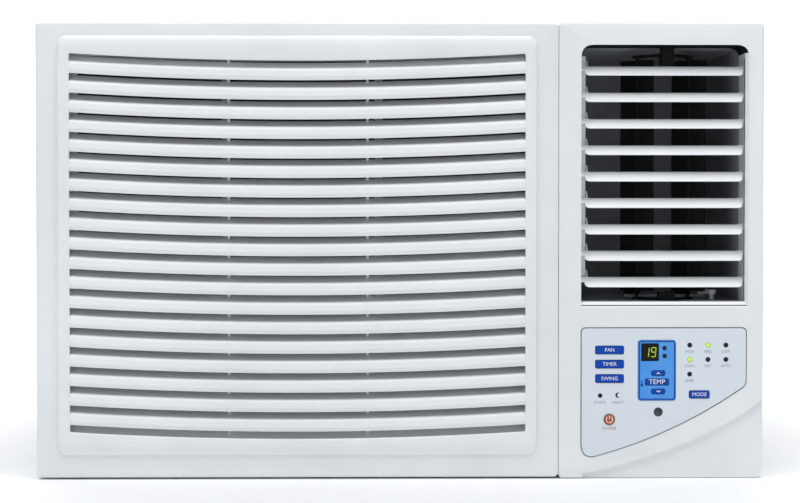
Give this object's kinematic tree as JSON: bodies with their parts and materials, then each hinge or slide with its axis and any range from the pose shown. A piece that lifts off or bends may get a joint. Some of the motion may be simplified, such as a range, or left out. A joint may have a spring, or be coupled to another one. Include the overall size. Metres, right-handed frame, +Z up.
{
  "type": "window air conditioner",
  "caption": "Boxed window air conditioner with a hinged intake grille, slide-up filter, ganged louvres, swinging vanes and a key panel.",
  "frame": {"origin": "on the plane it rests on, under the middle of its overall box", "axes": "+X to the right seen from the room, -Y into the room, +Z up"},
  "size_m": [0.6, 0.56, 0.3765],
  "materials": {
    "white_moulding": "cool white moulded panel, low sheen",
    "fascia": "pale blue-grey overlay, satin",
    "module": "light blue moulding, satin",
    "blue_key": "dark blue moulded key",
    "orange_key": "orange-red moulded key",
    "smoked_lens": "near-black smoked lens, polished",
    "light_guide": "greenish clear moulding, frosted",
    "black_plastic": "black moulding, satin",
    "duct_plastic": "dark grey moulding, matt",
    "grey_plastic": "mid-grey moulding, matt",
    "white_foam": "white moulded foam, matt grain",
    "filter_net": "dark woven net",
    "circuit_board": "green circuit board",
    "painted_steel": "off-white powder coat",
    "black_steel": "black enamel",
    "zinc_steel": "galvanised sheet",
    "fin_aluminium": "bare fin stock",
    "copper": "bare copper tube, lightly dulled",
    "rubber": "black rubber"
  },
  "bodies": {
    "case": {"base_pan": "zinc_steel", "cabinet": "painted_steel", "rear_guard": "painted_steel", "front_moulding": "white_moulding", "bulkhead": "zinc_steel", "outlet_duct": "duct_plastic", "blower_scroll": "white_foam", "evaporator": "fin_aluminium", "condenser": "fin_aluminium", "fan_shroud": "white_foam", "fan_motor": "black_steel", "motor_bracket": "zinc_steel", "compressor": "black_steel", "compressor_foot_1": "rubber", "compressor_foot_2": "rubber", "accumulator": "black_steel", "suction_line": "copper", "discharge_line": "copper", "capillary_tube": "copper", "electrical_box": "zinc_steel", "run_capacitor": "fin_aluminium", "room_sensor": "black_plastic", "cord_gland": "rubber", "drain_plug": "rubber", "control_fascia": "fascia", "display_panel": "module", "display_window": "smoked_lens", "ir_lens": "smoked_lens", "led_guide": "light_guide", "control_pcb": "circuit_board", "swing_motor": "zinc_steel", "vane_mount_upper": "black_plastic", "vane_mount_lower": "black_plastic"},
    "intake_door": {"intake_grille": "white_moulding"},
    "air_filter": {"filter_frame": "grey_plastic", "filter_net": "filter_net"},
    "rotor": {"motor_shaft": "zinc_steel", "blower_wheel": "black_plastic", "condenser_fan": "black_plastic"},
    "louvre_1": {"louvre_1": "white_moulding"},
    "louvre_2": {"louvre_2": "white_moulding"},
    "louvre_3": {"louvre_3": "white_moulding"},
    "louvre_4": {"louvre_4": "white_moulding"},
    "louvre_5": {"louvre_5": "white_moulding"},
    "louvre_6": {"louvre_6": "white_moulding"},
    "louvre_7": {"louvre_7": "white_moulding"},
    "louvre_8": {"louvre_8": "white_moulding"},
    "louvre_9": {"louvre_9": "white_moulding"},
    "louvre_link": {"louvre_link": "grey_plastic"},
    "vane_left": {"vane_left": "black_plastic"},
    "vane_right": {"vane_right": "black_plastic"},
    "vane_link": {"vane_link": "grey_plastic"},
    "swing_crank": {"swing_crank": "white_moulding"},
    "key_fan": {"key_fan": "blue_key"},
    "key_timer": {"key_timer": "blue_key"},
    "key_swing": {"key_swing": "blue_key"},
    "key_mode": {"key_mode": "blue_key"},
    "key_temp_up": {"key_temp_up": "blue_key"},
    "key_temp_down": {"key_temp_down": "blue_key"},
    "key_power": {"key_power": "orange_key"}
  },
  "joints": [
    {"name": "door_hinge", "type": "hinge", "parent": "case", "child": "intake_door", "pos_m": [-0.08485, -0.249, 0.3695], "axis": [-1, 0, 0], "range_deg": [0, 60]},
    {"name": "filter_slide", "type": "slide", "parent": "case", "child": "air_filter", "axis": [0, 0, 1], "range_m": [0, 0.34]},
    {"name": "rotor_spin", "type": "hinge", "parent": "case", "child": "rotor", "pos_m": [-0.05903, 0, 0.18825], "axis": [0, 1, 0], "continuous": true},
    {"name": "louvre_1_tilt", "type": "hinge", "parent": "case", "child": "louvre_1", "pos_m": [0.217, -0.263, 0.3404], "axis": [1, 0, 0], "range_deg": [-50, 20]},
    {"name": "louvre_2_tilt", "type": "hinge", "parent": "case", "child": "louvre_2", "pos_m": [0.217, -0.263, 0.31853], "axis": [1, 0, 0], "range_deg": [-50, 20]},
    {"name": "louvre_3_tilt", "type": "hinge", "parent": "case", "child": "louvre_3", "pos_m": [0.217, -0.263, 0.29665], "axis": [1, 0, 0], "range_deg": [-50, 20]},
    {"name": "louvre_4_tilt", "type": "hinge", "parent": "case", "child": "louvre_4", "pos_m": [0.217, -0.263, 0.27477], "axis": [1, 0, 0], "range_deg": [-50, 20]},
    {"name": "louvre_5_tilt", "type": "hinge", "parent": "case", "child": "louvre_5", "pos_m": [0.217, -0.263, 0.2529], "axis": [1, 0, 0], "range_deg": [-50, 20]},
    {"name": "louvre_6_tilt", "type": "hinge", "parent": "case", "child": "louvre_6", "pos_m": [0.217, -0.263, 0.23103], "axis": [1, 0, 0], "range_deg": [-50, 20]},
    {"name": "louvre_7_tilt", "type": "hinge", "parent": "case", "child": "louvre_7", "pos_m": [0.217, -0.263, 0.20915], "axis": [1, 0, 0], "range_deg": [-50, 20]},
    {"name": "louvre_8_tilt", "type": "hinge", "parent": "case", "child": "louvre_8", "pos_m": [0.217, -0.263, 0.18727], "axis": [1, 0, 0], "range_deg": [-50, 20]},
    {"name": "louvre_9_tilt", "type": "hinge", "parent": "case", "child": "louvre_9", "pos_m": [0.217, -0.263, 0.1654], "axis": [1, 0, 0], "range_deg": [-50, 20]},
    {"name": "louvre_link_swing", "type": "hinge", "parent": "louvre_1", "child": "louvre_link", "pos_m": [0.1516, -0.25591, 0.34594], "axis": [1, 0, 0], "range_deg": [-20, 50]},
    {"name": "crank_turn", "type": "hinge", "parent": "case", "child": "swing_crank", "pos_m": [0.265, -0.232, 0.151], "axis": [0, 0, 1], "range_deg": [-90, 0]},
    {"name": "vane_left_swing", "type": "hinge", "parent": "case", "child": "vane_left", "pos_m": [0.2012, -0.232, 0.25195], "axis": [0, 0, 1], "range_deg": [-90, 0]},
    {"name": "vane_right_swing", "type": "hinge", "parent": "case", "child": "vane_right", "pos_m": [0.2449, -0.232, 0.25195], "axis": [0, 0, 1], "range_deg": [-90, 0]},
    {"name": "vane_link_swing", "type": "hinge", "parent": "swing_crank", "child": "vane_link", "pos_m": [0.25734, -0.22557, 0.1492], "axis": [0, 0, 1], "range_deg": [0, 90]},
    {"name": "key_fan_press", "type": "slide", "parent": "case", "child": "key_fan", "axis": [0, 1, 0], "range_m": [0, 0.0008], "stiffness_N_per_m": 1200},
    {"name": "key_timer_press", "type": "slide", "parent": "case", "child": "key_timer", "axis": [0, 1, 0], "range_m": [0, 0.0008], "stiffness_N_per_m": 1200},
    {"name": "key_swing_press", "type": "slide", "parent": "case", "child": "key_swing", "axis": [0, 1, 0], "range_m": [0, 0.0008], "stiffness_N_per_m": 1200},
    {"name": "key_mode_press", "type": "slide", "parent": "case", "child": "key_mode", "axis": [0, 1, 0], "range_m": [0, 0.0008], "stiffness_N_per_m": 1200},
    {"name": "key_temp_up_press", "type": "slide", "parent": "case", "child": "key_temp_up", "axis": [0, 1, 0], "range_m": [0, 0.0008], "stiffness_N_per_m": 1200},
    {"name": "key_temp_down_press", "type": "slide", "parent": "case", "child": "key_temp_down", "axis": [0, 1, 0], "range_m": [0, 0.0008], "stiffness_N_per_m": 1200},
    {"name": "key_power_press", "type": "slide", "parent": "case", "child": "key_power", "axis": [0, 1, 0], "range_m": [0, 0.0008], "stiffness_N_per_m": 1200}
  ],
  "couplings": [
    {"joint": "louvre_2_tilt", "follows": "louvre_1_tilt", "ratio": 1},
    {"joint": "louvre_3_tilt", "follows": "louvre_1_tilt", "ratio": 1},
    {"joint": "louvre_4_tilt", "follows": "louvre_1_tilt", "ratio": 1},
    {"joint": "louvre_5_tilt", "follows": "louvre_1_tilt", "ratio": 1},
    {"joint": "louvre_6_tilt", "follows": "louvre_1_tilt", "ratio": 1},
    {"joint": "louvre_7_tilt", "follows": "louvre_1_tilt", "ratio": 1},
    {"joint": "louvre_8_tilt", "follows": "louvre_1_tilt", "ratio": 1},
    {"joint": "louvre_9_tilt", "follows": "louvre_1_tilt", "ratio": 1},
    {"joint": "louvre_link_swing", "follows": "louvre_1_tilt", "ratio": -1},
    {"joint": "vane_left_swing", "follows": "crank_turn", "ratio": 1},
    {"joint": "vane_right_swing", "follows": "crank_turn", "ratio": 1},
    {"joint": "vane_link_swing", "follows": "crank_turn", "ratio": -1}
  ]
}
